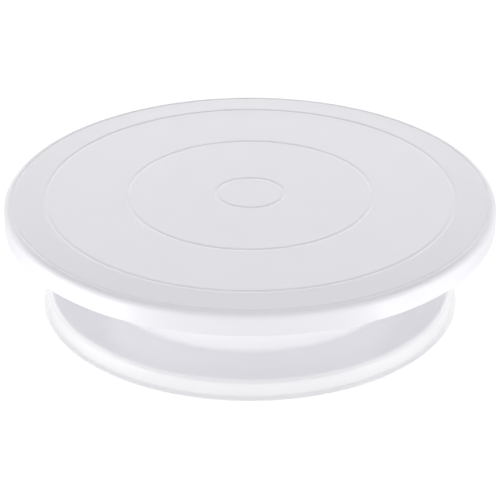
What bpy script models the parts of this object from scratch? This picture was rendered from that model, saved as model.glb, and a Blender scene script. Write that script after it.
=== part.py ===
"""Cake turntable: a round plate that turns on a ball bearing over a wide hollow pedestal.

Metres, +Z up. The origin is on the surface that the turntable stands on, under the middle of
the plate. Every piece is one closed solid with its own name, and each moving piece has its
origin on the axis that it turns about.
"""

import math

import bmesh
import bpy
from mathutils import Matrix, Vector

MM = 0.001

# Driving dimensions
OVERALL_HEIGHT = 66.5 * MM  # table to the plate's cake face
PLATE_RADIUS = 140.4 * MM  # at the lower edge of the plate's skirt
SKIRT_DEPTH = 13.4 * MM  # cake face to the skirt's lower edge
BASE_RADIUS = 120.4 * MM
NECK_RADIUS = 86.0 * MM  # the pedestal's drum where it meets the foot
WALL = 2.6 * MM  # moulded wall of the pedestal
GUIDE_RADII = (19.2 * MM, 70.0 * MM, 116.7 * MM)  # engraved centring rings
BALL_COUNT = 12
BALL_RADIUS = 3.0 * MM
TRACK_RADIUS = 36.0 * MM  # ball centres to the plate's axis
FOOT_COUNT = 6
RIB_COUNT = 12  # radial ribs under the plate, and as many webs under the pedestal's foot
DRUM_WEB_COUNT = 6
GAP = 0.3 * MM  # clearance kept between neighbouring pieces

# Heights that follow from them
PLATE_WALL = 2.8 * MM
PLATE_UNDER = OVERALL_HEIGHT - PLATE_WALL
DECK_TOP = OVERALL_HEIGHT - 12.0 * MM
DECK_UNDER = DECK_TOP - WALL
RACE_THICKNESS = 2.0 * MM
RACE_HALF_WIDTH = 5.0 * MM
GROOVE_RADIUS = BALL_RADIUS + GAP
GROOVE_REACH = 2.6 * MM  # ball centre to the flat face of either race
UPPER_RACE_TOP = PLATE_UNDER - GAP
BALL_HEIGHT = UPPER_RACE_TOP - RACE_THICKNESS - GROOVE_REACH
LOWER_RACE_TOP = BALL_HEIGHT - GROOVE_REACH
RECESS_FLOOR = LOWER_RACE_TOP - RACE_THICKNESS - GAP

# The plate
RING_HALF_WIDTH = 0.8 * MM
RING_DEPTH = 0.45 * MM
RIM_FALL = 0.7 * MM  # the cake face slopes down this far outside the largest ring
RIM_RADIUS = 136.8 * MM  # where the flat of the cake face turns into the shoulder
SHOULDER_RADIUS = 3.4 * MM
RIB_DEPTH = 9.0 * MM  # cake face to the lower edge of the plate's ribs
DUST_RING_DEPTH = 12.4 * MM  # the two outer rings hang lower and hide the bearing
RIB_THICKNESS = 2.0 * MM
RIB_RINGS = ((112.0 * MM, DUST_RING_DEPTH), (90.0 * MM, DUST_RING_DEPTH), (66.0 * MM, RIB_DEPTH))
CHANNEL_LIP = 2.2 * MM  # width of the two rings that locate the upper race
BOSS_RADIUS = 10.0 * MM

# The pedestal
RIM_BOTTOM = 0.8 * MM
FLANGE_TOP = 12.3 * MM
FOOT_WALL_RADIUS = 117.3 * MM  # top of the foot's upright wall
FOOT_ROUND = 3.3 * MM  # the flange turns down into the foot's wall
LEDGE_RADIUS = 117.9 * MM  # bottom of that wall, where the rim steps out
LEDGE_HEIGHT = 2.2 * MM
DRUM_TOP_RADIUS = 84.5 * MM
DRUM_SHOULDER = 3.0 * MM
FLANGE_FILLET = 2.5 * MM
HUB_RADIUS = 12.0 * MM
HUB_BOTTOM = 30.2 * MM
FOOT_CIRCLE = 104.0 * MM
FOOT_RADIUS = 6.0 * MM
FOOT_THICKNESS = 3.0 * MM
FOOT_POCKET_DEPTH = 1.0 * MM
FOOT_PAD_RADIUS = FOOT_RADIUS + GAP + 1.6 * MM

# The centre pivot
SHAFT_RADIUS = 4.0 * MM
SHAFT_HEAD_RADIUS = 5.2 * MM
SHAFT_HEAD_HEIGHT = 6.1 * MM
SCREW_RADIUS = 2.5 * MM
SCREW_HEAD_RADIUS = 4.75 * MM
SCREW_HEAD_HEIGHT = 3.0 * MM
SCREW_LENGTH = 13.0 * MM
BUSH_RADIUS = 7.0 * MM
BUSH_BORE = SHAFT_RADIUS + GAP
BUSH_FLANGE_RADIUS = 10.5 * MM
BUSH_FLANGE = 1.2 * MM
WASHER_RADIUS = 9.0 * MM
WASHER_THICKNESS = 1.5 * MM

# Facets around each kind of round piece
LARGE_ROUND = 60
RING_ROUND = 36
SMALL_ROUND = 24
POCKET_ROUND = 12

MATERIALS = {
    "white_plastic": ((0.86, 0.86, 0.88, 1.0), 0.32, 0.0),
    "steel": ((0.62, 0.62, 0.63, 1.0), 0.22, 1.0),
    "cage_nylon": ((0.80, 0.78, 0.72, 1.0), 0.45, 0.0),
    "brass": ((0.72, 0.54, 0.26, 1.0), 0.30, 1.0),
    "rubber": ((0.07, 0.07, 0.075, 1.0), 0.80, 0.0),
}


def clear_scene():
    for old in list(bpy.data.objects):
        bpy.data.objects.remove(old)


def make_material(name, finish):
    colour, roughness, metallic = MATERIALS[finish]
    material = bpy.data.materials.new(name + "_material")
    material.use_nodes = True
    shader = material.node_tree.nodes["Principled BSDF"]
    shader.inputs["Base Color"].default_value = colour
    shader.inputs["Roughness"].default_value = roughness
    shader.inputs["Metallic"].default_value = metallic
    material.diffuse_color = colour
    return material


def add_object(name, mesh_data, finish=None, origin=(0.0, 0.0, 0.0)):
    """Put finished bmesh geometry into the scene as one object whose origin is at origin."""
    mesh = bpy.data.meshes.new(name)
    bmesh.ops.translate(mesh_data, verts=mesh_data.verts, vec=-Vector(origin))
    mesh_data.to_mesh(mesh)
    mesh_data.free()
    piece = bpy.data.objects.new(name, mesh)
    piece.location = origin
    bpy.context.scene.collection.objects.link(piece)
    if finish:
        mesh.materials.append(make_material(name, finish))
        mesh.shade_smooth()
        mesh.set_sharp_from_angle(angle=math.radians(30.0))
    return piece


def turned(profile, segments):
    """Spin a closed (radius, height) outline about +Z into a solid."""
    solid = bmesh.new()
    points = [solid.verts.new((radius, 0.0, height)) for radius, height in profile]
    edges = []
    on_axis = profile[0][0] == 0.0 and profile[-1][0] == 0.0
    for index, point in enumerate(points):
        if on_axis and index == len(points) - 1:
            break
        edges.append(solid.edges.new((point, points[(index + 1) % len(points)])))
    bmesh.ops.spin(solid, geom=points + edges, cent=(0.0, 0.0, 0.0), axis=(0.0, 0.0, 1.0),
                   angle=math.tau, steps=segments, use_merge=True)
    bmesh.ops.remove_doubles(solid, verts=solid.verts, dist=1e-7)
    bmesh.ops.recalc_face_normals(solid, faces=solid.faces)
    return solid


def arc(centre, radii, start, end, steps):
    """Points along an upright elliptical arc; angles in degrees, 0 outwards and 90 up."""
    points = []
    for step in range(steps + 1):
        angle = math.radians(start + (end - start) * step / steps)
        points.append((centre[0] + radii[0] * math.cos(angle),
                       centre[1] + radii[1] * math.sin(angle)))
    return points


def spokes(name, outline, thickness, count):
    """Upright prisms of a (radius, height) outline, spaced evenly round the axis."""
    group = bmesh.new()
    for index in range(count):
        turn = Matrix.Rotation(math.tau * index / count, 4, "Z")
        sides = []
        for across in (-thickness / 2, thickness / 2):
            corners = [turn @ Vector((radius, across, height)) for radius, height in outline]
            sides.append([group.verts.new(corner) for corner in corners])
        near, far = sides
        group.faces.new(near)
        group.faces.new(reversed(far))
        for corner in range(len(outline)):
            after = (corner + 1) % len(outline)
            group.faces.new((near[corner], far[corner], far[after], near[after]))
    bmesh.ops.recalc_face_normals(group, faces=group.faces)
    return add_object(name, group)


def posts(name, radius, bottom, top, circle, count, segments):
    """Upright round posts spaced evenly on a circle, the first of them at +X."""
    group = bmesh.new()
    for index in range(count):
        angle = math.tau * index / count
        place = Matrix.Translation((circle * math.cos(angle), circle * math.sin(angle),
                                    (bottom + top) / 2))
        bmesh.ops.create_cone(group, cap_ends=True, segments=segments, radius1=radius,
                              radius2=radius, depth=top - bottom, matrix=place)
    return add_object(name, group)


def cut_or_join(piece, tool, operation):
    modifier = piece.modifiers.new(tool.name, "BOOLEAN")
    modifier.operation = operation
    modifier.solver = "EXACT"
    modifier.object = tool
    tool.hide_render = True
    tool.display_type = "WIRE"


def guide_ring(radius):
    """A shallow engraved V in the cake face."""
    return [
        (radius - RING_HALF_WIDTH, OVERALL_HEIGHT),
        (radius, OVERALL_HEIGHT - RING_DEPTH),
        (radius + RING_HALF_WIDTH, OVERALL_HEIGHT),
    ]


def hanging_ring(radius, thickness, top, bottom):
    """The section of a ring that hangs from a ceiling, from its outer side to its inner."""
    outer = radius + thickness / 2
    inner = radius - thickness / 2
    return [(outer, top), (outer, bottom), (inner, bottom), (inner, top)]


def make_top_plate():
    rim_top = OVERALL_HEIGHT - RIM_FALL
    skirt_bottom = OVERALL_HEIGHT - SKIRT_DEPTH
    rib_bottom = OVERALL_HEIGHT - RIB_DEPTH
    channel_bottom = UPPER_RACE_TOP - RACE_THICKNESS
    channel_inner = TRACK_RADIUS - RACE_HALF_WIDTH - GAP
    channel_outer = TRACK_RADIUS + RACE_HALF_WIDTH + GAP
    boss_bottom = DECK_TOP + GAP + BUSH_FLANGE + GAP
    boss_bore = SHAFT_HEAD_RADIUS + GAP
    bore_end = boss_bottom + GAP + SHAFT_HEAD_HEIGHT + GAP
    skirt_inner = PLATE_RADIUS - WALL
    face = [(0.0, OVERALL_HEIGHT)]
    for radius in GUIDE_RADII:
        face += guide_ring(radius)
    shoulder = arc((RIM_RADIUS, rim_top - SHOULDER_RADIUS), (SHOULDER_RADIUS, SHOULDER_RADIUS),
                   90.0, 0.0, 3)
    skirt = [
        (PLATE_RADIUS, skirt_bottom + 0.4 * MM),
        (PLATE_RADIUS - 0.4 * MM, skirt_bottom),
        (skirt_inner, skirt_bottom),
        (skirt_inner - 0.4 * MM, rim_top - SHOULDER_RADIUS - 1.0 * MM),
        (RIM_RADIUS - 1.0 * MM, rim_top - PLATE_WALL),
    ]
    under_face = [(GUIDE_RADII[-1], PLATE_UNDER)]
    for radius, depth in RIB_RINGS:
        under_face += hanging_ring(radius, RIB_THICKNESS, PLATE_UNDER, OVERALL_HEIGHT - depth)
    race_channel = hanging_ring(channel_outer + CHANNEL_LIP / 2, CHANNEL_LIP, PLATE_UNDER,
                                channel_bottom)
    race_channel += hanging_ring(channel_inner - CHANNEL_LIP / 2, CHANNEL_LIP, PLATE_UNDER,
                                 channel_bottom)
    boss = [
        (BOSS_RADIUS, PLATE_UNDER),
        (BOSS_RADIUS, boss_bottom),
        (boss_bore, boss_bottom),
        (boss_bore, bore_end),
        (0.0, bore_end),
    ]
    outline = face + shoulder + skirt + under_face + race_channel + boss
    plate = add_object("top_plate", turned(outline, LARGE_ROUND), "white_plastic")
    rib_outline = [
        (channel_outer + CHANNEL_LIP / 2, channel_bottom + GAP),
        (channel_outer + 4 * CHANNEL_LIP, rib_bottom),
        (skirt_inner + WALL / 4, rib_bottom),
        (skirt_inner + WALL / 4, rim_top - WALL),
        (RIM_RADIUS - 2 * SHOULDER_RADIUS, rim_top - PLATE_WALL / 2),
        (channel_outer + CHANNEL_LIP / 2, PLATE_UNDER + PLATE_WALL / 3),
    ]
    ribs = spokes("plate_rib_tool", rib_outline, RIB_THICKNESS, RIB_COUNT)
    cut_or_join(plate, ribs, "UNION")


def base_outline():
    """The pedestal's section: deck, drum, flange, foot and rim, then back up the inside."""
    bore = BUSH_RADIUS + GAP
    recess_inner = TRACK_RADIUS - RACE_HALF_WIDTH - GAP
    recess_outer = TRACK_RADIUS + RACE_HALF_WIDTH + GAP
    deck = [
        (bore, DECK_TOP),
        (recess_inner, DECK_TOP),
        (recess_inner, RECESS_FLOOR),
        (recess_outer, RECESS_FLOOR),
        (recess_outer, DECK_TOP),
    ]
    drum = arc((DRUM_TOP_RADIUS - DRUM_SHOULDER, DECK_TOP - DRUM_SHOULDER),
               (DRUM_SHOULDER, DRUM_SHOULDER), 90.0, 0.0, 2)
    fillet = arc((NECK_RADIUS + FLANGE_FILLET, FLANGE_TOP + FLANGE_FILLET),
                 (FLANGE_FILLET, FLANGE_FILLET), 180.0, 270.0, 3)
    foot = arc((FOOT_WALL_RADIUS - FOOT_ROUND, FLANGE_TOP - FOOT_ROUND),
               (FOOT_ROUND, FOOT_ROUND), 90.0, 0.0, 3)
    rim = [
        (LEDGE_RADIUS, LEDGE_HEIGHT),
        (BASE_RADIUS - 0.3 * MM, LEDGE_HEIGHT),
        (BASE_RADIUS, LEDGE_HEIGHT - 0.3 * MM),
        (BASE_RADIUS, RIM_BOTTOM),
        (LEDGE_RADIUS - WALL, RIM_BOTTOM),
    ]
    foot_inside = [
        (FOOT_WALL_RADIUS - WALL, FLANGE_TOP - FOOT_ROUND),
        (FOOT_WALL_RADIUS - FOOT_ROUND, FLANGE_TOP - WALL),
    ]
    foot_ring = hanging_ring(FOOT_CIRCLE, RIB_THICKNESS, FLANGE_TOP - WALL,
                             RIM_BOTTOM + 2.0 * MM)
    inside = [
        (NECK_RADIUS - WALL, FLANGE_TOP - WALL),
        (DRUM_TOP_RADIUS - WALL, DECK_UNDER - DRUM_SHOULDER / 2),
        (DRUM_TOP_RADIUS - WALL - DRUM_SHOULDER / 2, DECK_UNDER),
        (HUB_RADIUS, DECK_UNDER),
        (HUB_RADIUS, HUB_BOTTOM),
        (bore, HUB_BOTTOM),
    ]
    return deck + drum + fillet + foot + rim + foot_inside + foot_ring + inside


def make_base():
    base = add_object("base", turned(base_outline(), LARGE_ROUND), "white_plastic")
    drum_web = [
        (HUB_RADIUS - 1.0 * MM, HUB_BOTTOM + 4.0 * MM),
        (DRUM_TOP_RADIUS - WALL / 2, HUB_BOTTOM + 4.0 * MM),
        (DRUM_TOP_RADIUS - WALL / 2, DECK_UNDER - 2 * DRUM_SHOULDER / 3),
        (DRUM_TOP_RADIUS - WALL - DRUM_SHOULDER, DECK_UNDER + WALL / 4),
        (HUB_RADIUS - 1.0 * MM, DECK_UNDER + WALL / 4),
    ]
    foot_web = [
        (NECK_RADIUS - WALL / 2, RIM_BOTTOM + 2.0 * MM),
        (LEDGE_RADIUS - WALL / 2, RIM_BOTTOM + 2.0 * MM),
        (FOOT_WALL_RADIUS - WALL / 2, FLANGE_TOP - FOOT_ROUND),
        (FOOT_WALL_RADIUS - FOOT_ROUND, FLANGE_TOP - WALL / 2),
        (NECK_RADIUS - WALL / 2, FLANGE_TOP - WALL / 2),
    ]
    pad_bottom = FOOT_THICKNESS + GAP - FOOT_POCKET_DEPTH
    pocket_top = FOOT_THICKNESS + GAP
    drum_webs = spokes("drum_web_tool", drum_web, RIB_THICKNESS, DRUM_WEB_COUNT)
    foot_webs = spokes("foot_web_tool", foot_web, RIB_THICKNESS, RIB_COUNT)
    pads = posts("foot_pad_tool", FOOT_PAD_RADIUS, pad_bottom, FLANGE_TOP - WALL / 2,
                 FOOT_CIRCLE, FOOT_COUNT, SMALL_ROUND)
    pockets = posts("foot_pocket_tool", FOOT_RADIUS + GAP, RIM_BOTTOM, pocket_top,
                    FOOT_CIRCLE, FOOT_COUNT, SMALL_ROUND)
    cut_or_join(base, drum_webs, "UNION")
    cut_or_join(base, foot_webs, "UNION")
    cut_or_join(base, pads, "UNION")
    cut_or_join(base, pockets, "DIFFERENCE")


def make_feet():
    chamfer = 0.6 * MM
    outline = [
        (0.0, 0.0),
        (FOOT_RADIUS - chamfer, 0.0),
        (FOOT_RADIUS, chamfer),
        (FOOT_RADIUS, FOOT_THICKNESS),
        (0.0, FOOT_THICKNESS),
    ]
    for index in range(FOOT_COUNT):
        angle = math.tau * index / FOOT_COUNT
        centre = (FOOT_CIRCLE * math.cos(angle), FOOT_CIRCLE * math.sin(angle), 0.0)
        solid = turned(outline, SMALL_ROUND)
        bmesh.ops.translate(solid, verts=solid.verts, vec=centre)
        add_object(f"rubber_foot_{index + 1}", solid, "rubber", centre)


def race_outline(back, face):
    """A flat steel ring from its back to its grooved face, which looks at the balls."""
    half_angle = math.degrees(math.acos(GROOVE_REACH / GROOVE_RADIUS))
    up = 1.0 if face > BALL_HEIGHT else -1.0
    groove = arc((TRACK_RADIUS, BALL_HEIGHT), (GROOVE_RADIUS, up * GROOVE_RADIUS),
                 90.0 - half_angle, 90.0 + half_angle, 4)
    inner = TRACK_RADIUS - RACE_HALF_WIDTH
    outer = TRACK_RADIUS + RACE_HALF_WIDTH
    return [(inner, back), (outer, back), (outer, face)] + groove + [(inner, face)]


def make_races():
    upper_face = UPPER_RACE_TOP - RACE_THICKNESS
    lower_back = LOWER_RACE_TOP - RACE_THICKNESS
    upper = turned(race_outline(UPPER_RACE_TOP, upper_face), RING_ROUND)
    lower = turned(race_outline(lower_back, LOWER_RACE_TOP), RING_ROUND)
    add_object("upper_race", upper, "steel")
    add_object("lower_race", lower, "steel")


def make_ball_cage():
    half_thickness = 1.0 * MM
    inner = TRACK_RADIUS - RACE_HALF_WIDTH + 0.5 * MM
    outer = TRACK_RADIUS + RACE_HALF_WIDTH - 0.5 * MM
    outline = [
        (inner, BALL_HEIGHT - half_thickness),
        (outer, BALL_HEIGHT - half_thickness),
        (outer, BALL_HEIGHT + half_thickness),
        (inner, BALL_HEIGHT + half_thickness),
    ]
    cage = add_object("ball_cage", turned(outline, RING_ROUND), "cage_nylon")
    pockets = posts("cage_pocket_tool", BALL_RADIUS + GAP, BALL_HEIGHT - 2 * half_thickness,
                    BALL_HEIGHT + 2 * half_thickness, TRACK_RADIUS, BALL_COUNT, POCKET_ROUND)
    cut_or_join(cage, pockets, "DIFFERENCE")


def make_balls():
    for index in range(BALL_COUNT):
        angle = math.tau * index / BALL_COUNT
        centre = Vector((TRACK_RADIUS * math.cos(angle), TRACK_RADIUS * math.sin(angle),
                         BALL_HEIGHT))
        ball = bmesh.new()
        bmesh.ops.create_uvsphere(ball, u_segments=12, v_segments=6, radius=BALL_RADIUS,
                                  matrix=Matrix.Translation(centre))
        add_object(f"ball_{index + 1:02d}", ball, "steel", centre)


def make_centre_bush():
    flange_top = DECK_TOP + GAP + BUSH_FLANGE
    bush_bottom = HUB_BOTTOM - 0.4 * MM
    outline = [
        (BUSH_BORE, bush_bottom),
        (BUSH_RADIUS, bush_bottom),
        (BUSH_RADIUS, DECK_TOP + GAP),
        (BUSH_FLANGE_RADIUS, DECK_TOP + GAP),
        (BUSH_FLANGE_RADIUS, flange_top),
        (BUSH_BORE, flange_top),
    ]
    add_object("centre_bush", turned(outline, SMALL_ROUND), "brass")


def make_spindle():
    """The steel pin that is moulded into the plate's boss and turns in the bush."""
    head_bottom = DECK_TOP + 3 * GAP + BUSH_FLANGE
    head_top = head_bottom + SHAFT_HEAD_HEIGHT
    shaft_bottom = HUB_BOTTOM - 0.4 * MM
    bore = SCREW_RADIUS + GAP
    bore_end = shaft_bottom + SCREW_LENGTH
    chamfer = 0.5 * MM
    outline = [
        (0.0, bore_end),
        (bore, bore_end),
        (bore, shaft_bottom),
        (SHAFT_RADIUS - chamfer, shaft_bottom),
        (SHAFT_RADIUS, shaft_bottom + chamfer),
        (SHAFT_RADIUS, head_bottom),
        (SHAFT_HEAD_RADIUS, head_bottom),
        (SHAFT_HEAD_RADIUS, head_top - chamfer),
        (SHAFT_HEAD_RADIUS - chamfer, head_top),
        (0.0, head_top),
    ]
    add_object("spindle", turned(outline, SMALL_ROUND), "steel")


def make_retaining_washer():
    washer_top = HUB_BOTTOM - 0.4 * MM - GAP
    washer_bottom = washer_top - WASHER_THICKNESS
    outline = [
        (SCREW_RADIUS + GAP, washer_bottom),
        (WASHER_RADIUS, washer_bottom),
        (WASHER_RADIUS, washer_top),
        (SCREW_RADIUS + GAP, washer_top),
    ]
    add_object("retaining_washer", turned(outline, SMALL_ROUND), "steel")


def make_retaining_screw():
    """A pan-head screw, driven upwards through the washer into the spindle's end."""
    head_top = HUB_BOTTOM - 0.4 * MM - GAP - WASHER_THICKNESS - GAP
    head_bottom = head_top - SCREW_HEAD_HEIGHT
    shank_top = head_top + SCREW_LENGTH
    chamfer = 0.9 * MM
    outline = [
        (0.0, head_bottom),
        (SCREW_HEAD_RADIUS - chamfer, head_bottom),
        (SCREW_HEAD_RADIUS, head_bottom + chamfer),
        (SCREW_HEAD_RADIUS, head_top),
        (SCREW_RADIUS, head_top),
        (SCREW_RADIUS, shank_top - 0.5 * MM),
        (SCREW_RADIUS - 0.5 * MM, shank_top),
        (0.0, shank_top),
    ]
    screw = add_object("retaining_screw", turned(outline, SMALL_ROUND), "steel")
    slot_half_length = 2.6 * MM
    slot_depth = 1.8 * MM
    slot = [
        (-slot_half_length, head_bottom - slot_depth),
        (slot_half_length, head_bottom - slot_depth),
        (slot_half_length, head_bottom + slot_depth),
        (-slot_half_length, head_bottom + slot_depth),
    ]
    for turn_name, turn in (("first", 0.0), ("second", math.pi / 2)):
        tool = spokes(f"screw_slot_{turn_name}_tool", slot, 1.1 * MM, 1)
        tool.rotation_euler.z = turn
        cut_or_join(screw, tool, "DIFFERENCE")


clear_scene()
make_base()
make_feet()
make_races()
make_ball_cage()
make_balls()
make_centre_bush()
make_top_plate()
make_spindle()
make_retaining_washer()
make_retaining_screw()
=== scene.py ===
"""Looks of the white cake turntable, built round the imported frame.

The plate and the pedestal are turned again here with a fine section, so that every edge has its
own radius, and each piece of the bearing gets a smooth mesh in place of its faceted CAD solid.
Metres, +Z up, in the frame's own place.
"""

import math

import bmesh
import bpy
from mathutils import Matrix, Vector


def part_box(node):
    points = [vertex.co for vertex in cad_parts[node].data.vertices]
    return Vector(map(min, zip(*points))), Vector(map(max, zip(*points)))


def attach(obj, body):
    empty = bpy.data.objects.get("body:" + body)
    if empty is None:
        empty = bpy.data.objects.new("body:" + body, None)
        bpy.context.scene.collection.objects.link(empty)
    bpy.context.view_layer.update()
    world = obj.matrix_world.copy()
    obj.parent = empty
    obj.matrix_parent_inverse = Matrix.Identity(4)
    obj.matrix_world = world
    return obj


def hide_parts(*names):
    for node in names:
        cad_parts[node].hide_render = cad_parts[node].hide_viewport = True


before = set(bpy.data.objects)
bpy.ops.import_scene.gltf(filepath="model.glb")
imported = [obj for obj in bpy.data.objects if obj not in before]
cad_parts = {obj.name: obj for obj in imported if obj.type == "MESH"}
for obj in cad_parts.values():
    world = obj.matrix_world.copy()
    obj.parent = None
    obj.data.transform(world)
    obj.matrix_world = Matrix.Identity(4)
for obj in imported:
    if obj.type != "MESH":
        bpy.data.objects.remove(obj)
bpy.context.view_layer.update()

MM = 0.001
PLATE_LOW, PLATE_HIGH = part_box("top_plate")
BASE_LOW, BASE_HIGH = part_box("base")
PLATE_TOP = PLATE_HIGH.z
PLATE_RADIUS = PLATE_HIGH.x
SKIRT_BOTTOM = PLATE_LOW.z
BASE_RADIUS = BASE_HIGH.x
RIM_BOTTOM = BASE_LOW.z
DECK_TOP = BASE_HIGH.z

# Facets round each size of turned piece
LARGE_ROUND = 240
RING_ROUND = 144
SMALL_ROUND = 64
ARC_STEP = math.radians(9.0)  # turn of a rounded corner between two of its points
SHARP_EDGE = math.radians(35.0)  # edges that bend more than this stay crisp
FILLET_SHARE = 0.48  # a fillet takes at most this much of the run beside it
FLAT_RUN = 3.0 * MM  # straight runs longer than this get a point close to each end
FLAT_MARGIN = 0.3 * MM

# The plate
GUIDE_RADII = (19.2 * MM, 70.0 * MM, 116.7 * MM)
RING_HALF_WIDTH = 1.4 * MM
RING_DEPTH = 0.38 * MM
RIM_FALL = 0.7 * MM  # the face slopes down this far outside the largest ring
RIM_RADIUS = 136.8 * MM
RIM_GROOVE = 0.26 * MM  # depth of the fine line just inside the rim
SHOULDER_RADIUS = 3.4 * MM
PLATE_WALL = 2.8 * MM
SKIRT_WALL = 2.6 * MM
RIB_DEPTH = 9.0 * MM
DUST_RING_DEPTH = 12.4 * MM
RIB_THICKNESS = 2.0 * MM
RIB_COUNT = 12
RIB_RINGS = ((112.0 * MM, DUST_RING_DEPTH), (90.0 * MM, DUST_RING_DEPTH), (66.0 * MM, RIB_DEPTH))
BOSS_RADIUS = 10.0 * MM

# The pedestal
WALL = 2.6 * MM
NECK_RADIUS = 86.0 * MM
DRUM_TOP_RADIUS = 84.5 * MM
FLANGE_TOP = 12.3 * MM
FLANGE_CROWN = 0.2 * MM  # the flange falls this far over its last few millimetres
FOOT_WALL_RADIUS = 117.3 * MM
FOOT_ROUND = 3.3 * MM
LEDGE_RADIUS = 117.9 * MM
LEDGE_HEIGHT = 2.2 * MM
LEDGE_SLOPE = 0.5 * MM  # the ledge is this much higher at the wall, and lower at its edge
HUB_RADIUS = 12.0 * MM
HUB_BOTTOM = 30.2 * MM
FOOT_CIRCLE = 104.0 * MM
FOOT_COUNT = 6
FOOT_PAD_WALL = 1.6 * MM
DRUM_WEB_COUNT = 6
WEB_INSET = 2.0 * MM  # the webs and the inner ring stop this far above the pedestal's rim

# The bearing and the pivot
GAP = 0.3 * MM
BALL_COUNT = 12
BALL_LOW, BALL_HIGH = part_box("ball_01")
BALL_RADIUS = (BALL_HIGH.z - BALL_LOW.z) / 2
BALL_HEIGHT = (BALL_HIGH.z + BALL_LOW.z) / 2
RACE_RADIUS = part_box("upper_race")[1].x
RACE_HALF_WIDTH = 5.0 * MM
TRACK_RADIUS = RACE_RADIUS - RACE_HALF_WIDTH
GROOVE_REACH = 2.6 * MM  # ball centre to the flat face of either race
BUSH_RADIUS = 7.0 * MM
SCREW_RADIUS = 2.5 * MM
SCREW_LENGTH = 13.0 * MM
SHAFT_HEAD_STEP = 1.2 * MM  # the pin's head is this much wider in radius than its shaft
SHAFT_HEAD_HEIGHT = 6.1 * MM
BUSH_FLANGE = 1.2 * MM
THREAD_PITCH = 0.8 * MM
THREAD_DEPTH = 0.35 * MM
ROWS_PER_TURN = 8  # rows of the screw's mesh in one pitch of its thread
SLOT_WIDTH = 1.1 * MM


def link(name, data):
    """A new object in the scene, for a mesh or a camera."""
    piece = bpy.data.objects.new(name, data)
    bpy.context.scene.collection.objects.link(piece)
    return piece


def finish_mesh(name, solid, material):
    """Turn bmesh geometry into a smooth-shaded object."""
    mesh = bpy.data.meshes.new(name)
    bmesh.ops.recalc_face_normals(solid, faces=solid.faces)
    solid.to_mesh(mesh)
    solid.free()
    mesh.materials.append(material)
    mesh.shade_smooth()
    mesh.set_sharp_from_angle(angle=SHARP_EDGE)
    return link(name, mesh)


def softened(outline):
    """Round the corners of a (radius, height, fillet) outline.

    Long straight runs get a point near each end, so that smooth shading leaves them flat.
    """
    closed = not (outline[0][0] == 0.0 and outline[-1][0] == 0.0)
    count = len(outline)
    stretches = []
    for index, (radius, height, fillet) in enumerate(outline):
        corner = Vector((radius, height))
        if fillet == 0.0 or (not closed and index in (0, count - 1)):
            stretches.append([corner])
            continue
        before = Vector(outline[index - 1][:2]) - corner
        after = Vector(outline[(index + 1) % count][:2]) - corner
        opening = before.angle(after)
        reach = fillet / math.tan(opening / 2)
        reach = min(reach, FILLET_SHARE * before.length, FILLET_SHARE * after.length)
        start = corner + before.normalized() * reach
        end = corner + after.normalized() * reach
        middle = corner + (before.normalized() + after.normalized()).normalized() * (
            reach / math.cos(opening / 2))
        steps = max(2, math.ceil((math.pi - opening) / ARC_STEP))
        first = start - middle
        last = end - middle
        stretch = []
        for step in range(steps + 1):
            direction = first.normalized().slerp(last.normalized(), step / steps)
            stretch.append(middle + direction * first.length)
        stretches.append(stretch)
    points = []
    for index, stretch in enumerate(stretches):
        points += stretch
        if not closed and index == count - 1:
            break
        start = stretch[-1]
        end = stretches[(index + 1) % count][0]
        run = end - start
        if run.length > FLAT_RUN:
            margin = run.normalized() * FLAT_MARGIN
            points += [start + margin, end - margin]
    return points


def turned(outline, segments):
    """Spin a closed outline about +Z into a solid. Its first and last point may be on the axis."""
    profile = softened(outline)
    on_axis = profile[0].x == 0.0 and profile[-1].x == 0.0
    solid = bmesh.new()
    points = [solid.verts.new((point.x, 0.0, point.y)) for point in profile]
    pairs = list(zip(points, points[1:]))
    if not on_axis:
        pairs.append((points[-1], points[0]))
    edges = [solid.edges.new(pair) for pair in pairs]
    bmesh.ops.spin(solid, geom=points + edges, cent=(0.0, 0.0, 0.0), axis=(0.0, 0.0, 1.0),
                   angle=math.tau, steps=segments, use_merge=True)
    bmesh.ops.remove_doubles(solid, verts=solid.verts, dist=1e-7)
    return solid


def sharp(points):
    """Outline points that keep their corners."""
    return [(radius, height, 0.0) for radius, height in points]


def arc(centre, radii, start, end, steps):
    """Points along an upright elliptical arc; angles in degrees, 0 outwards and 90 up."""
    points = []
    for step in range(steps + 1):
        angle = math.radians(start + (end - start) * step / steps)
        points.append((centre[0] + radii[0] * math.cos(angle),
                       centre[1] + radii[1] * math.sin(angle)))
    return points


def spokes(outline, thickness, count, bevel):
    """Upright prisms of a (radius, height) outline, spaced evenly round the axis."""
    group = bmesh.new()
    for index in range(count):
        turn = Matrix.Rotation(math.tau * index / count, 4, "Z")
        sides = []
        for across in (-thickness / 2, thickness / 2):
            corners = [turn @ Vector((radius, across, height)) for radius, height in outline]
            sides.append([group.verts.new(corner) for corner in corners])
        near, far = sides
        group.faces.new(near)
        group.faces.new(reversed(far))
        for corner in range(len(outline)):
            after = (corner + 1) % len(outline)
            group.faces.new((near[corner], far[corner], far[after], near[after]))
    bmesh.ops.recalc_face_normals(group, faces=group.faces)
    bmesh.ops.bevel(group, geom=list(group.edges), offset=bevel, segments=2, profile=0.5,
                    affect="EDGES")
    return group


def posts(radius, bottom, top, circle, count, segments, bevel=0.0):
    """Upright round posts spaced evenly on a circle, the first of them at +X."""
    group = bmesh.new()
    for index in range(count):
        angle = math.tau * index / count
        place = Matrix.Translation((circle * math.cos(angle), circle * math.sin(angle),
                                    (bottom + top) / 2))
        bmesh.ops.create_cone(group, cap_ends=True, segments=segments, radius1=radius,
                              radius2=radius, depth=top - bottom, matrix=place)
    if bevel:
        rims = [edge for edge in group.edges if edge.calc_face_angle(0.0) > 1.0]
        bmesh.ops.bevel(group, geom=rims, offset=bevel, segments=3, profile=0.5, affect="EDGES")
    return group


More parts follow.
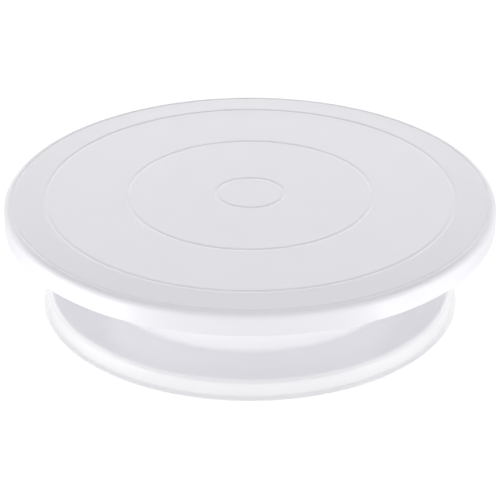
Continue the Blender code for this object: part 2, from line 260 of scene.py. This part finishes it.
def combine(piece, tool_solid, operation):
    """Join a tool to a piece, or cut it out, and keep the result as the piece's mesh."""
    tool = finish_mesh("tool", tool_solid, piece.data.materials[0])
    modifier = piece.modifiers.new("combine", "BOOLEAN")
    modifier.operation = operation
    modifier.solver = "EXACT"
    modifier.object = tool
    depsgraph = bpy.context.evaluated_depsgraph_get()
    result = bpy.data.meshes.new_from_object(piece.evaluated_get(depsgraph))
    piece.modifiers.clear()
    piece.data = result
    bpy.data.objects.remove(tool)


def hanging_ring(radius, thickness, top, bottom):
    """The section of a ring that hangs from a ceiling, from its outer side to its inner."""
    outer = radius + thickness / 2
    inner = radius - thickness / 2
    fillet = 0.5 * MM
    return [(outer, top, fillet), (outer, bottom, fillet), (inner, bottom, fillet),
            (inner, top, fillet)]


# Materials

def new_material(name):
    material = bpy.data.materials.new(name)
    material.use_nodes = True
    return material, material.node_tree, material.node_tree.nodes["Principled BSDF"]


def noise(tree, scale, detail, stretch=(1.0, 1.0, 1.0)):
    """A noise texture in the object's own metres."""
    coordinates = tree.nodes.new("ShaderNodeTexCoord")
    mapping = tree.nodes.new("ShaderNodeMapping")
    mapping.inputs["Scale"].default_value = stretch
    texture = tree.nodes.new("ShaderNodeTexNoise")
    texture.inputs["Scale"].default_value = scale
    texture.inputs["Detail"].default_value = detail
    texture.inputs["Roughness"].default_value = 0.55
    tree.links.new(coordinates.outputs["Object"], mapping.inputs["Vector"])
    tree.links.new(mapping.outputs["Vector"], texture.inputs["Vector"])
    return texture.outputs["Fac"]


def spread(tree, value, low, high, start=0.3, end=0.7):
    """Map start..end, which is a texture's usual range unless given, to low..high."""
    node = tree.nodes.new("ShaderNodeMapRange")
    node.inputs["From Min"].default_value = start
    node.inputs["From Max"].default_value = end
    node.inputs["To Min"].default_value = low
    node.inputs["To Max"].default_value = high
    tree.links.new(value, node.inputs["Value"])
    return node.outputs["Result"]


def tint(tree, factor, first, second):
    """A blend of two colours."""
    node = tree.nodes.new("ShaderNodeMix")
    node.data_type = "RGBA"
    node.inputs["A"].default_value = (*first, 1.0)
    node.inputs["B"].default_value = (*second, 1.0)
    tree.links.new(factor, node.inputs["Factor"])
    return node.outputs["Result"]


def bump(tree, shader, height, distance, strength):
    """A fine relief on a material, from a texture."""
    node = tree.nodes.new("ShaderNodeBump")
    node.inputs["Strength"].default_value = strength
    node.inputs["Distance"].default_value = distance
    tree.links.new(height, node.inputs["Height"])
    tree.links.new(node.outputs["Normal"], shader.inputs["Normal"])


def from_axis(tree):
    """How far a point is from the turntable's axis, in metres."""
    coordinates = tree.nodes.new("ShaderNodeTexCoord")
    flat = tree.nodes.new("ShaderNodeVectorMath")
    flat.operation = "MULTIPLY"
    flat.inputs[1].default_value = (1.0, 1.0, 0.0)
    length = tree.nodes.new("ShaderNodeVectorMath")
    length.operation = "LENGTH"
    tree.links.new(coordinates.outputs["Object"], flat.inputs[0])
    tree.links.new(flat.outputs["Vector"], length.inputs[0])
    return length.outputs["Value"]


def circles(tree, scale):
    """Fine lines that run round the axis: noise that changes with the radius alone."""
    texture = tree.nodes.new("ShaderNodeTexNoise")
    texture.noise_dimensions = "1D"
    texture.inputs["Scale"].default_value = scale
    texture.inputs["Detail"].default_value = 3.0
    tree.links.new(from_axis(tree), texture.inputs["W"])
    return texture.outputs["Fac"]


def painted_shade_between(tree, colour, inner, outer, shade):
    """The colour, multiplied by a painted shade between two radii."""
    node = tree.nodes.new("ShaderNodeMix")
    node.data_type = "RGBA"
    node.blend_type = "MULTIPLY"
    node.inputs["B"].default_value = (shade, shade, shade, 1.0)
    distance = from_axis(tree)
    fade = 0.5 * MM
    beyond_inner = spread(tree, distance, 0.0, 1.0, inner, inner + fade)
    before_outer = spread(tree, distance, 1.0, 0.0, outer, outer + fade)
    band = combined(tree, "MULTIPLY", beyond_inner, before_outer)
    tree.links.new(band, node.inputs["Factor"])
    tree.links.new(colour, node.inputs["A"])
    return node.outputs["Result"]


def combined(tree, operation, first, second):
    """The result of a sum or a product of two values."""
    node = tree.nodes.new("ShaderNodeMath")
    node.operation = operation
    tree.links.new(first, node.inputs[0])
    tree.links.new(second, node.inputs[1])
    return node.outputs["Value"]


def white_plastic(name, light, dark, rough, wear=0.0, painted_shade_band=None):
    """Moulded plastic: slight clouding, a fine eroded grain and a finish that varies a little.

    Wear roughens the finish along fine circles, from turning and wiping, and short straight marks.
    A painted shade band is two radii, and the factor by which the colour is darkened between them
    as painted shade.
    """
    material, tree, shader = new_material(name)
    clouds = noise(tree, 14.0, 3.0)
    colour = tint(tree, spread(tree, clouds, 0.0, 1.0), light, dark)
    if painted_shade_band:
        colour = painted_shade_between(tree, colour, *painted_shade_band)
    tree.links.new(colour, shader.inputs["Base Color"])
    finish = spread(tree, noise(tree, 60.0, 5.0), rough - 0.03, rough + 0.03)
    if wear:
        rings = spread(tree, circles(tree, 700.0), 0.0, wear, 0.5, 0.7)
        finish = combined(tree, "ADD", finish, rings)
        for stretch in ((9.0, 0.3, 1.0), (0.3, 7.0, 1.0)):
            marks = spread(tree, noise(tree, 60.0, 1.0, stretch=stretch), 0.0, wear, 0.68, 0.72)
            finish = combined(tree, "ADD", finish, marks)
    tree.links.new(finish, shader.inputs["Roughness"])
    bump(tree, shader, noise(tree, 1500.0, 2.0), 0.00002, 0.4)
    shader.inputs["IOR"].default_value = 1.49
    return material


def turned_metal(name, light, dark, rough):
    """Bare metal with slight clouding and a fine grain."""
    material, tree, shader = new_material(name)
    shader.inputs["Metallic"].default_value = 1.0
    colour = tint(tree, spread(tree, noise(tree, 300.0, 4.0), 0.0, 1.0), light, dark)
    tree.links.new(colour, shader.inputs["Base Color"])
    finish = spread(tree, noise(tree, 900.0, 4.0), rough - 0.04, rough + 0.04)
    tree.links.new(finish, shader.inputs["Roughness"])
    bump(tree, shader, noise(tree, 4000.0, 2.0, stretch=(1.0, 1.0, 0.2)), 0.00001, 0.3)
    return material


def soft_rubber(name, light, dark):
    """Matt rubber with a coarser grain."""
    material, tree, shader = new_material(name)
    colour = tint(tree, spread(tree, noise(tree, 500.0, 4.0), 0.0, 1.0), light, dark)
    tree.links.new(colour, shader.inputs["Base Color"])
    finish = spread(tree, noise(tree, 800.0, 3.0), 0.7, 0.88)
    tree.links.new(finish, shader.inputs["Roughness"])
    bump(tree, shader, noise(tree, 2500.0, 3.0), 0.00005, 0.6)
    return material


WHITE = (0.779, 0.771, 0.813)
WHITE_SHADE = (0.773, 0.765, 0.807)
# The pedestal's white is lighter than the plate's as painted light, to brighten its flange and
# drum in the plate's shade.
PEDESTAL_PAINTED_LIGHT_WHITE = (0.943, 0.937, 0.957)
PEDESTAL_PAINTED_LIGHT_CLOUD = (0.937, 0.931, 0.951)
# The plate's band outside its largest ring, where the face slopes down, is darkened by 0.96 as
# painted shade.
PLATE_PLASTIC = white_plastic("plate_plastic", WHITE, WHITE_SHADE, 0.33, wear=0.05,
                              painted_shade_band=(GUIDE_RADII[-1], PLATE_RADIUS, 0.96))
# The pedestal's band over its foot wall is darkened by 0.88 as painted shade, to dim that wall.
BASE_PLASTIC = white_plastic("base_plastic", PEDESTAL_PAINTED_LIGHT_WHITE, PEDESTAL_PAINTED_LIGHT_CLOUD, 0.22,
                             painted_shade_band=(FOOT_WALL_RADIUS - 1.0 * MM, LEDGE_RADIUS, 0.88))
RACE_STEEL = turned_metal("race_steel", (0.62, 0.62, 0.63), (0.58, 0.58, 0.59), 0.33)
BALL_STEEL = turned_metal("ball_steel", (0.72, 0.72, 0.73), (0.68, 0.68, 0.69), 0.12)
PIVOT_STEEL = turned_metal("pivot_steel", (0.60, 0.60, 0.61), (0.55, 0.55, 0.56), 0.33)
SCREW_STEEL = turned_metal("fastener_steel", (0.66, 0.66, 0.68), (0.61, 0.61, 0.63), 0.33)
BUSH_BRASS = turned_metal("bush_brass", (0.72, 0.54, 0.26), (0.66, 0.48, 0.22), 0.33)
CAGE_NYLON = white_plastic("cage_nylon", (0.78, 0.75, 0.68), (0.74, 0.71, 0.63), 0.45)
FOOT_RUBBER = soft_rubber("foot_rubber", (0.075, 0.075, 0.08), (0.05, 0.05, 0.055))


# Pieces

def guide_ring(radius):
    """A shallow engraved ring in the cake face."""
    return [
        (radius - RING_HALF_WIDTH, PLATE_TOP, 1.2 * MM),
        (radius, PLATE_TOP - RING_DEPTH, 0.8 * MM),
        (radius + RING_HALF_WIDTH, PLATE_TOP, 1.2 * MM),
    ]


def make_plate():
    under = PLATE_TOP - PLATE_WALL
    rim_top = PLATE_TOP - RIM_FALL
    race_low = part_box("upper_race")[0]
    bush_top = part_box("centre_bush")[1].z
    head_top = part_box("spindle")[1].z
    race_inner = TRACK_RADIUS - RACE_HALF_WIDTH - GAP
    race_outer = TRACK_RADIUS + RACE_HALF_WIDTH + GAP
    lip = 2.2 * MM
    boss_bottom = bush_top + GAP
    boss_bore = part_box("spindle")[1].x + GAP
    skirt_inner = PLATE_RADIUS - SKIRT_WALL
    outline = [(0.0, PLATE_TOP, 0.0)]
    for radius in GUIDE_RADII:
        outline += guide_ring(radius)
    outline += [
        (RIM_RADIUS - 7 * RIM_GROOVE, rim_top, 0.15 * MM),
        (RIM_RADIUS - 4 * RIM_GROOVE, rim_top - RIM_GROOVE, 0.15 * MM),
        (RIM_RADIUS - RIM_GROOVE, rim_top, 0.15 * MM),
    ]
    outline += sharp(arc((RIM_RADIUS, rim_top - SHOULDER_RADIUS),
                         (SHOULDER_RADIUS, SHOULDER_RADIUS), 90.0, 0.0, 14))
    outline += [
        (PLATE_RADIUS, SKIRT_BOTTOM, 0.35 * MM),
        (skirt_inner, SKIRT_BOTTOM, 0.6 * MM),
        (skirt_inner - 0.4 * MM, rim_top - PLATE_WALL, 1.6 * MM),
        (GUIDE_RADII[-1] + 1.0 * MM, under, 0.0),
    ]
    for radius, depth in RIB_RINGS:
        outline += hanging_ring(radius, RIB_THICKNESS, under, PLATE_TOP - depth)
    outline += hanging_ring(race_outer + lip / 2, lip, under, race_low.z)
    outline += hanging_ring(race_inner - lip / 2, lip, under, race_low.z)
    outline += [
        (BOSS_RADIUS, under, 1.0 * MM),
        (BOSS_RADIUS, boss_bottom, 0.5 * MM),
        (boss_bore, boss_bottom, 0.3 * MM),
        (boss_bore, head_top + GAP, 0.3 * MM),
        (0.0, head_top + GAP, 0.0),
    ]
    plate = finish_mesh("turning_plate", turned(outline, LARGE_ROUND), PLATE_PLASTIC)
    rib_end = skirt_inner + 0.7 * MM
    rib = [
        (race_outer + lip / 2, race_low.z + GAP),
        (race_outer + 4 * lip, PLATE_TOP - RIB_DEPTH),
        (rib_end, PLATE_TOP - RIB_DEPTH),
        (rib_end, rim_top - SKIRT_WALL),
        (RIM_RADIUS - 2 * SHOULDER_RADIUS, rim_top - PLATE_WALL / 2),
        (race_outer + lip / 2, under + PLATE_WALL / 3),
    ]
    combine(plate, spokes(rib, RIB_THICKNESS, RIB_COUNT, 0.35 * MM), "UNION")
    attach(plate, "plate")
    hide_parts("top_plate")


def make_pedestal():
    foot_low, foot_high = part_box("rubber_foot_1")
    bore = BUSH_RADIUS + GAP
    recess_inner = TRACK_RADIUS - RACE_HALF_WIDTH - GAP
    recess_outer = TRACK_RADIUS + RACE_HALF_WIDTH + GAP
    recess_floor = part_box("lower_race")[0].z - GAP
    deck_under = DECK_TOP - WALL
    web_bottom = RIM_BOTTOM + WEB_INSET
    fine = 0.3 * MM
    outline = [
        (bore, DECK_TOP, fine),
        (recess_inner, DECK_TOP, fine),
        (recess_inner, recess_floor, fine),
        (recess_outer, recess_floor, fine),
        (recess_outer, DECK_TOP, fine),
        (DRUM_TOP_RADIUS, DECK_TOP, 3.0 * MM),
        (NECK_RADIUS, FLANGE_TOP, 2.5 * MM),
        (FOOT_WALL_RADIUS - 2 * FOOT_ROUND, FLANGE_TOP, 3.0 * MM),
        (FOOT_WALL_RADIUS, FLANGE_TOP - FLANGE_CROWN, FOOT_ROUND),
        (LEDGE_RADIUS, LEDGE_HEIGHT + LEDGE_SLOPE, 1.2 * MM),
        (BASE_RADIUS, LEDGE_HEIGHT - LEDGE_SLOPE, 0.5 * MM),
        (BASE_RADIUS, RIM_BOTTOM, 0.5 * MM),
        (LEDGE_RADIUS - WALL, RIM_BOTTOM, 0.5 * MM),
        (FOOT_WALL_RADIUS - WALL, FLANGE_TOP - WALL, 1.0 * MM),
    ]
    outline += hanging_ring(FOOT_CIRCLE, RIB_THICKNESS, FLANGE_TOP - WALL, web_bottom)
    outline += [
        (NECK_RADIUS - WALL, FLANGE_TOP - WALL, 1.5 * MM),
        (DRUM_TOP_RADIUS - WALL, deck_under, 2.0 * MM),
        (HUB_RADIUS, deck_under, 1.0 * MM),
        (HUB_RADIUS, HUB_BOTTOM, 0.6 * MM),
        (bore, HUB_BOTTOM, fine),
    ]
    pedestal = finish_mesh("pedestal", turned(outline, LARGE_ROUND), BASE_PLASTIC)
    drum_web_bottom = HUB_BOTTOM + 4.0 * MM
    drum_web = [
        (HUB_RADIUS - 1.0 * MM, drum_web_bottom),
        (DRUM_TOP_RADIUS - WALL / 2, drum_web_bottom),
        (DRUM_TOP_RADIUS - WALL / 2, deck_under - 2.0 * MM),
        (DRUM_TOP_RADIUS - WALL - 3.0 * MM, deck_under + WALL / 4),
        (HUB_RADIUS - 1.0 * MM, deck_under + WALL / 4),
    ]
    foot_web = [
        (NECK_RADIUS - WALL / 2, web_bottom),
        (FOOT_WALL_RADIUS - WALL / 2, web_bottom),
        (FOOT_WALL_RADIUS - WALL / 2, FLANGE_TOP - FOOT_ROUND),
        (FOOT_WALL_RADIUS - FOOT_ROUND, FLANGE_TOP - WALL / 2),
        (NECK_RADIUS - WALL / 2, FLANGE_TOP - WALL / 2),
    ]
    pocket_radius = (foot_high.y - foot_low.y) / 2 + GAP
    pocket_top = foot_high.z + GAP
    pad_bottom = pocket_top - 1.0 * MM
    combine(pedestal, spokes(drum_web, RIB_THICKNESS, DRUM_WEB_COUNT, 0.4 * MM), "UNION")
    combine(pedestal, spokes(foot_web, RIB_THICKNESS, RIB_COUNT, 0.4 * MM), "UNION")
    combine(pedestal, posts(pocket_radius + FOOT_PAD_WALL, pad_bottom, FLANGE_TOP - WALL / 2,
                            FOOT_CIRCLE, FOOT_COUNT, SMALL_ROUND, fine), "UNION")
    combine(pedestal, posts(pocket_radius, RIM_BOTTOM, pocket_top, FOOT_CIRCLE, FOOT_COUNT,
                            SMALL_ROUND), "DIFFERENCE")
    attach(pedestal, "root")
    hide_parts("base")


def make_feet():
    for number in range(1, FOOT_COUNT + 1):
        low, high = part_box(f"rubber_foot_{number}")
        centre = (low + high) / 2
        radius = (high.y - low.y) / 2
        outline = [
            (0.0, 0.0, 0.0),
            (radius, 0.0, 0.9 * MM),
            (radius, high.z, 0.3 * MM),
            (0.0, high.z, 0.0),
        ]
        solid = turned(outline, SMALL_ROUND)
        bmesh.ops.translate(solid, verts=solid.verts, vec=(centre.x, centre.y, low.z))
        foot = finish_mesh(f"foot_{number}", solid, FOOT_RUBBER)
        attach(foot, "root")
        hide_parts(f"rubber_foot_{number}")


def place(name, node, solid, material, body, slot):
    """A turned piece of the bearing, in place of its CAD node."""
    piece = finish_mesh(name, solid, material)
    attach(piece, body)
    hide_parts(node)
    return piece


def make_races():
    """Two flat steel rings; each has a groove that follows the balls."""
    groove_radius = BALL_RADIUS + GAP
    half_angle = math.degrees(math.acos(GROOVE_REACH / groove_radius))
    inner = TRACK_RADIUS - RACE_HALF_WIDTH
    outer = TRACK_RADIUS + RACE_HALF_WIDTH
    edge = 0.3 * MM
    for name, up, body in (("upper_race", 1.0, "plate"), ("lower_race", -1.0, "root")):
        low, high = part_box(name)
        back = high.z if up > 0.0 else low.z
        face = low.z if up > 0.0 else high.z
        groove = arc((TRACK_RADIUS, BALL_HEIGHT), (groove_radius, up * groove_radius),
                     90.0 - half_angle, 90.0 + half_angle, 12)
        outline = [(inner, back, edge), (outer, back, edge), (outer, face, edge)]
        outline += sharp(groove)
        outline += [(inner, face, edge)]
        place(f"{name}_ring", name, turned(outline, RING_ROUND), RACE_STEEL, body,
              "race_steel")


def make_ball_cage():
    low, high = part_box("ball_cage")
    outer = high.x
    inner = 2 * TRACK_RADIUS - outer
    edge = 0.35 * MM
    outline = [(inner, low.z, edge), (outer, low.z, edge), (outer, high.z, edge),
               (inner, high.z, edge)]
    cage = place("cage_ring", "ball_cage", turned(outline, RING_ROUND), CAGE_NYLON, "cage",
                 "cage_nylon")
    depth = high.z - low.z
    combine(cage, posts(BALL_RADIUS + GAP, low.z - depth, high.z + depth, TRACK_RADIUS,
                        BALL_COUNT, SMALL_ROUND), "DIFFERENCE")


def make_balls():
    for number in range(1, BALL_COUNT + 1):
        node = f"ball_{number:02d}"
        low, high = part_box(node)
        ball = bmesh.new()
        bmesh.ops.create_uvsphere(ball, u_segments=40, v_segments=20, radius=BALL_RADIUS,
                                  matrix=Matrix.Translation((low + high) / 2))
        place(f"bearing_{node}_smooth", node, ball, BALL_STEEL, f"bearing_{node}", "ball_steel")


def make_centre_bush():
    low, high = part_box("centre_bush")
    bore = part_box("spindle")[1].x - SHAFT_HEAD_STEP + GAP
    edge = 0.25 * MM
    outline = [
        (bore, low.z, edge),
        (BUSH_RADIUS, low.z, edge),
        (BUSH_RADIUS, high.z - BUSH_FLANGE, 0.0),
        (high.x, high.z - BUSH_FLANGE, edge),
        (high.x, high.z, edge),
        (bore, high.z, edge),
    ]
    place("flanged_bush", "centre_bush", turned(outline, SMALL_ROUND), BUSH_BRASS, "root",
          "bush_brass")


def make_spindle():
    """The pin's head is grooved, so that the boss moulded round it can't creep."""
    low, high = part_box("spindle")
    head = high.x
    shaft = head - SHAFT_HEAD_STEP
    head_bottom = high.z - SHAFT_HEAD_HEIGHT
    bore = SCREW_RADIUS + GAP
    edge = 0.4 * MM
    groove = 0.3 * MM
    outline = [
        (0.0, low.z + SCREW_LENGTH, 0.0),
        (bore, low.z + SCREW_LENGTH, 0.2 * MM),
        (bore, low.z, edge),
        (shaft, low.z, edge),
        (shaft, head_bottom, 0.0),
        (head, head_bottom, edge),
    ]
    for band in range(1, 4):
        middle = head_bottom + band * SHAFT_HEAD_HEIGHT / 4
        outline += sharp([(head, middle - groove), (head - groove, middle),
                          (head, middle + groove)])
    outline += [(head, high.z, edge), (0.0, high.z, 0.0)]
    place("centre_pin", "spindle", turned(outline, SMALL_ROUND), PIVOT_STEEL, "plate",
          "pivot_steel")


def make_washer():
    low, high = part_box("retaining_washer")
    bore = SCREW_RADIUS + GAP
    edge = 0.3 * MM
    outline = [(bore, low.z, edge), (high.x, low.z, edge), (high.x, high.z, edge),
               (bore, high.z, edge)]
    place("plain_washer", "retaining_washer", turned(outline, SMALL_ROUND), SCREW_STEEL, "plate",
          "fastener_steel")


def make_screw():
    """A pan-head screw with a cross slot and a helical thread."""
    low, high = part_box("retaining_screw")
    head_top = high.z - SCREW_LENGTH
    row = THREAD_PITCH / ROWS_PER_TURN
    rows = int((high.z - head_top) / row) - ROWS_PER_TURN
    outline = [(0.0, low.z, 0.0), (high.x, low.z, 1.3 * MM), (high.x, head_top, 0.3 * MM)]
    outline += sharp([(SCREW_RADIUS, head_top + step * row) for step in range(rows)])
    outline += [(SCREW_RADIUS - THREAD_DEPTH, high.z, 0.2 * MM), (0.0, high.z, 0.0)]
    solid = turned(outline, SMALL_ROUND)
    for point in solid.verts:
        radius = math.hypot(point.co.x, point.co.y)
        near_head = point.co.z <= head_top + THREAD_PITCH
        on_shank = abs(radius - SCREW_RADIUS) <= 0.01 * MM
        if near_head or not on_shank:
            continue
        turns = point.co.z / THREAD_PITCH - math.atan2(point.co.y, point.co.x) / math.tau
        cut = THREAD_DEPTH * abs(2.0 * (turns % 1.0) - 1.0)
        point.co.x *= (radius - cut) / radius
        point.co.y *= (radius - cut) / radius
    screw = place("pan_head_screw", "retaining_screw", solid, SCREW_STEEL, "plate",
                  "fastener_steel")
    reach = 2.6 * MM
    depth = 1.8 * MM
    arm = [(-reach, low.z - depth), (reach, low.z - depth), (reach * 0.8, low.z + depth),
           (-reach * 0.8, low.z + depth)]
    combine(screw, spokes(arm, SLOT_WIDTH, 1, 0.1 * MM), "DIFFERENCE")
    crossing = spokes(arm, SLOT_WIDTH, 1, 0.1 * MM)
    bmesh.ops.rotate(crossing, verts=crossing.verts, matrix=Matrix.Rotation(math.pi / 2, 3, "Z"))
    combine(screw, crossing, "DIFFERENCE")


# Studio

# Sine of the elevation, and the tent's brightness there
TENT_FRONT = ((0.0, 0.9), (0.13, 0.9), (0.17, 2.45), (0.31, 2.45), (0.37, 1.0), (0.54, 0.9),
              (0.62, 0.2), (0.92, 0.2), (0.95, 1.9), (1.0, 2.0))
TENT_BACK = ((0.0, 1.7), (0.13, 2.1), (0.17, 2.1), (0.36, 1.8), (0.54, 2.2), (0.60, 0.3),
             (0.66, 0.05), (0.92, 0.05), (0.95, 1.9), (1.0, 2.0))
TENT_PEAK = 3.0
STRIP_AZIMUTH = 45.6  # degrees


def glowing(name, solid, strength, height):
    """A white surface of the set that gives off its own even light."""
    material, _, shader = new_material(f"{name}_white")
    shader.inputs["Base Color"].default_value = (0.10, 0.10, 0.10, 1.0)
    shader.inputs["Roughness"].default_value = 0.9
    shader.inputs["Specular IOR Level"].default_value = 0.0
    shader.inputs["Emission Color"].default_value = (1.0, 1.0, 1.0, 1.0)
    shader.inputs["Emission Strength"].default_value = strength
    surface = finish_mesh(name, solid, material)
    surface.location.z = height
    return surface


def light_strip(name, azimuth, strength):
    """A lit strip of the table. It gives the white plastic its narrow upright highlights.

    Azimuth 0 is the camera's side and positive is to its right.
    """
    near = 0.16
    far = 0.30
    half_width = 0.015
    turn = Matrix.Rotation(math.radians(azimuth), 4, "Z")
    solid = bmesh.new()
    corners = ((-half_width, -near), (-half_width, -far), (half_width, -far), (half_width, -near))
    solid.faces.new([solid.verts.new(turn @ Vector((x, y, 0.0))) for x, y in corners])
    return glowing(name, solid, strength, -0.1 * MM)


def brightness_ramp(tree, height, levels):
    """The brightness along one side of the tent, from (sine of elevation, brightness) pairs."""
    ramp = tree.nodes.new("ShaderNodeValToRGB")
    stops = ramp.color_ramp.elements
    while len(stops) < len(levels):
        stops.new(0.5)
    for stop, (position, level) in zip(stops, levels):
        stop.position = position
        stop.color = (level / TENT_PEAK, level / TENT_PEAK, level / TENT_PEAK, 1.0)
    tree.links.new(height, ramp.inputs["Fac"])
    return ramp.outputs["Color"]


def make_world():
    """A white tent: a bright band low down all round, a dim ceiling, a bright panel overhead."""
    world = bpy.data.worlds.new("studio")
    world.use_nodes = True
    tree = world.node_tree
    coordinates = tree.nodes.new("ShaderNodeTexCoord")
    split = tree.nodes.new("ShaderNodeSeparateXYZ")
    tree.links.new(coordinates.outputs["Generated"], split.inputs["Vector"])
    front = brightness_ramp(tree, split.outputs["Z"], TENT_FRONT)
    back = brightness_ramp(tree, split.outputs["Z"], TENT_BACK)
    blend = tree.nodes.new("ShaderNodeMix")
    blend.data_type = "RGBA"
    towards_back = spread(tree, split.outputs["Y"], 0.0, 1.0, 0.45, 0.75)
    tree.links.new(towards_back, blend.inputs["Factor"])
    tree.links.new(front, blend.inputs["A"])
    tree.links.new(back, blend.inputs["B"])
    background = tree.nodes["Background"]
    background.inputs["Strength"].default_value = TENT_PEAK
    tree.links.new(blend.outputs["Result"], background.inputs["Color"])
    bpy.context.scene.world = world


def make_studio():
    floor = bmesh.new()
    bmesh.ops.create_grid(floor, x_segments=1, y_segments=1, size=6.0)
    glowing("floor", floor, 1.0, -0.2 * MM)
    light_strip("left_strip", -STRIP_AZIMUTH, 7.0)
    light_strip("right_strip", STRIP_AZIMUTH, 5.0)
    make_world()


def make_camera():
    """The view: 1.17 m from the middle of the cake face, 26.2 degrees above it.

    It aims 1.6 degrees below that middle, so the pedestal is in the picture too.
    """
    data = bpy.data.cameras.new("camera")
    data.lens = 147.1
    data.sensor_width = 36.0
    camera = link("camera", data)
    distance = 1.169
    rise = math.radians(26.2)
    tilt = math.radians(62.19)
    camera.location = (0.0, -distance * math.cos(rise), PLATE_TOP + distance * math.sin(rise))
    camera.rotation_euler = (tilt, 0.0, 0.0)
    bpy.context.scene.camera = camera


make_camera()
make_plate()
make_pedestal()
make_feet()
make_races()
make_ball_cage()
make_balls()
make_centre_bush()
make_spindle()
make_washer()
make_screw()
make_studio()
bpy.context.scene.view_settings.view_transform = "Standard"
